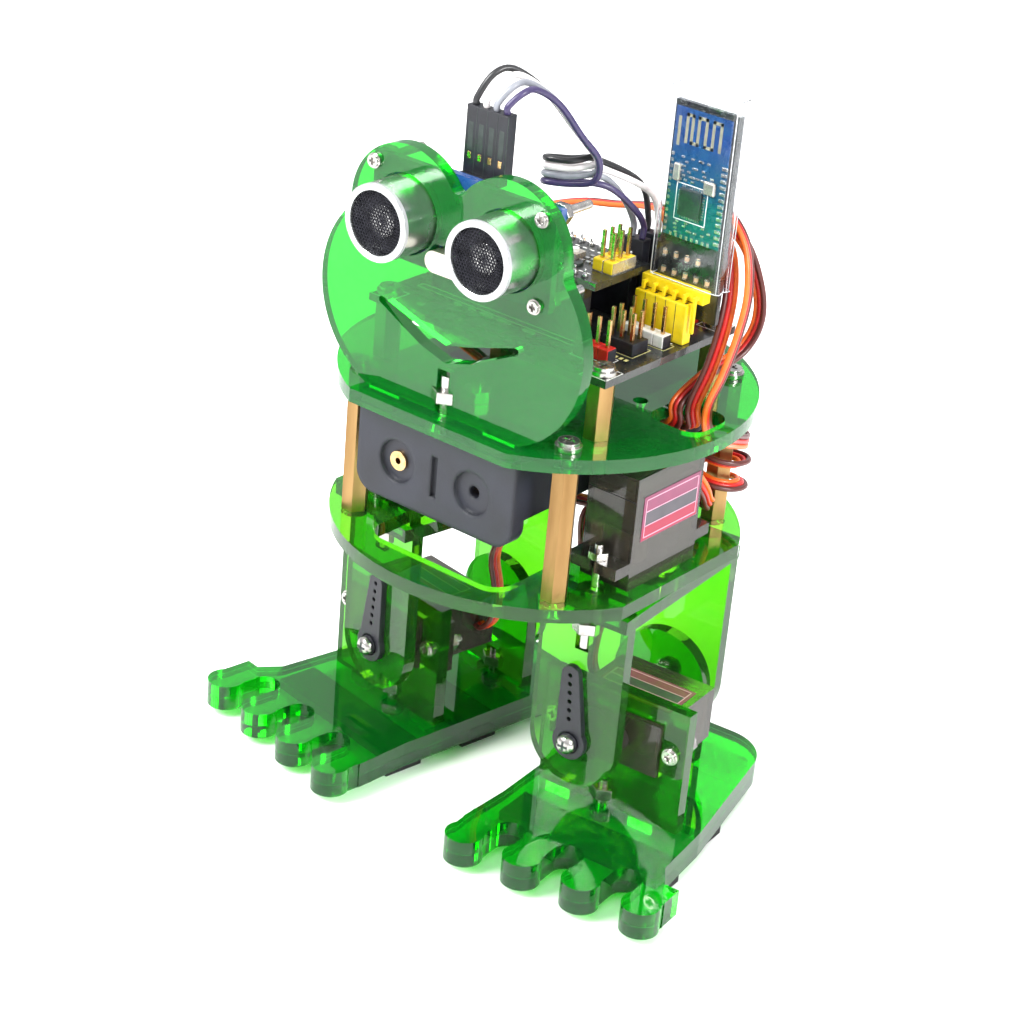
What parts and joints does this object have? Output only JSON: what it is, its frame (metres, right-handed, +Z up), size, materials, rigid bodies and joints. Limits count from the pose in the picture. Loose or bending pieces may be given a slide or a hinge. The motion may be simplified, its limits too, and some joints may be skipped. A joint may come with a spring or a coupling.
{
  "type": "walking robot kit",
  "caption": "Two-legged walking robot kit with a frog-shaped acrylic face, round body plates on hex standoffs, servo hips and ankles and a sonar pair for eyes.",
  "frame": {"origin": "on the floor under the midpoint of the four body standoffs", "axes": "+Z up, the face looks along -Y, +X is towards the robot's own left foot"},
  "size_m": [0.1286, 0.088, 0.166],
  "materials": {
    "green_acrylic": "clear green, polished",
    "brass_posts": "machined, lightly scuffed",
    "nickel_screws": "nickel plated",
    "black_plastic": "fine moulded",
    "cell_wrap": "heat-shrink wrap",
    "contact_metal": "gold plated",
    "smoke_plastic": "smoke, slightly clear",
    "motor_steel": "plain",
    "blue_board": "solder mask",
    "bright_metal": "satin",
    "black_cable": "soft",
    "white_plastic": "soft",
    "grey_cable": "soft",
    "purple_cable": "soft",
    "black_board": "solder mask",
    "clear_film": "clear film",
    "yellow_plastic": "moulded",
    "orange_cable": "soft",
    "black_rubber": "matt"
  },
  "bodies": {
    "torso": {"waist_plate": "green_acrylic", "top_plate": "green_acrylic", "standoffs": "brass_posts", "body_screws": "nickel_screws", "battery_holder": "black_plastic", "battery_cells": "cell_wrap", "battery_contacts": "contact_metal", "hip_servos": "smoke_plastic", "hip_servo_works": "motor_steel", "face_plate": "green_acrylic", "sonar_board": "blue_board", "sonar_cans": "bright_metal", "sonar_parts": "bright_metal", "sonar_header": "black_plastic", "sonar_plugs": "black_plastic", "sonar_lead_black": "black_cable", "sonar_lead_white": "white_plastic", "sonar_lead_grey": "grey_cable", "sonar_lead_purple": "purple_cable", "shield_board": "black_board", "shield_sockets": "black_plastic", "jumper_headers": "black_plastic", "header_pins": "contact_metal", "controller_board": "black_board", "controller_parts": "bright_metal", "radio_board": "blue_board", "radio_sleeve": "clear_film", "radio_header": "yellow_plastic", "servo_plugs": "black_plastic", "hip_lead_l": "orange_cable", "hip_lead_r": "orange_cable", "upper_lead_l": "orange_cable", "upper_lead_r": "orange_cable"},
    "left_leg": {"hip_plate_l": "green_acrylic", "leg_front_l": "green_acrylic", "leg_rear_l": "green_acrylic", "leg_horns_l": "black_plastic", "leg_fixings_l": "nickel_screws", "ankle_lead_l": "orange_cable"},
    "right_leg": {"hip_plate_r": "green_acrylic", "leg_front_r": "green_acrylic", "leg_rear_r": "green_acrylic", "leg_horns_r": "black_plastic", "leg_fixings_r": "nickel_screws", "ankle_lead_r": "orange_cable"},
    "left_foot": {"foot_plates_l": "green_acrylic", "foot_pads_l": "black_rubber", "ankle_plate_l": "green_acrylic", "heel_plate_l": "green_acrylic", "ankle_servo_l": "smoke_plastic", "ankle_works_l": "motor_steel", "foot_fixings_l": "nickel_screws"},
    "right_foot": {"foot_plates_r": "green_acrylic", "foot_pads_r": "black_rubber", "ankle_plate_r": "green_acrylic", "heel_plate_r": "green_acrylic", "ankle_servo_r": "smoke_plastic", "ankle_works_r": "motor_steel", "foot_fixings_r": "nickel_screws"},
    "reset_cap": {"reset_button": "white_plastic"}
  },
  "joints": [
    {"name": "left_hip", "type": "hinge", "parent": "torso", "child": "left_leg", "pos_m": [0.0296, 0.00205, 0.0604], "axis": [0, 0, 1], "range_deg": [-18.3, 10.7], "deforming": ["upper_lead_l"]},
    {"name": "left_ankle", "type": "hinge", "parent": "left_leg", "child": "left_foot", "pos_m": [0.02651, -0.00798, 0.0264], "axis": [-0.0924, 0.9957, 0], "range_deg": [-25, 25], "deforming": ["ankle_lead_l"]},
    {"name": "right_hip", "type": "hinge", "parent": "torso", "child": "right_leg", "pos_m": [-0.0296, 0.00205, 0.0604], "axis": [0, 0, 1], "range_deg": [-6.8, 22.2], "deforming": ["upper_lead_r"]},
    {"name": "right_ankle", "type": "hinge", "parent": "right_leg", "child": "right_foot", "pos_m": [-0.0272, -0.00817, 0.0264], "axis": [0.1599, 0.9871, 0], "range_deg": [-25, 25], "deforming": ["ankle_lead_r"]},
    {"name": "reset_press", "type": "slide", "parent": "torso", "child": "reset_cap", "axis": [0, 0, 1], "range_m": [-0.00025, 0], "stiffness_N_per_m": 900, "springref_m": 0.0002}
  ]
}
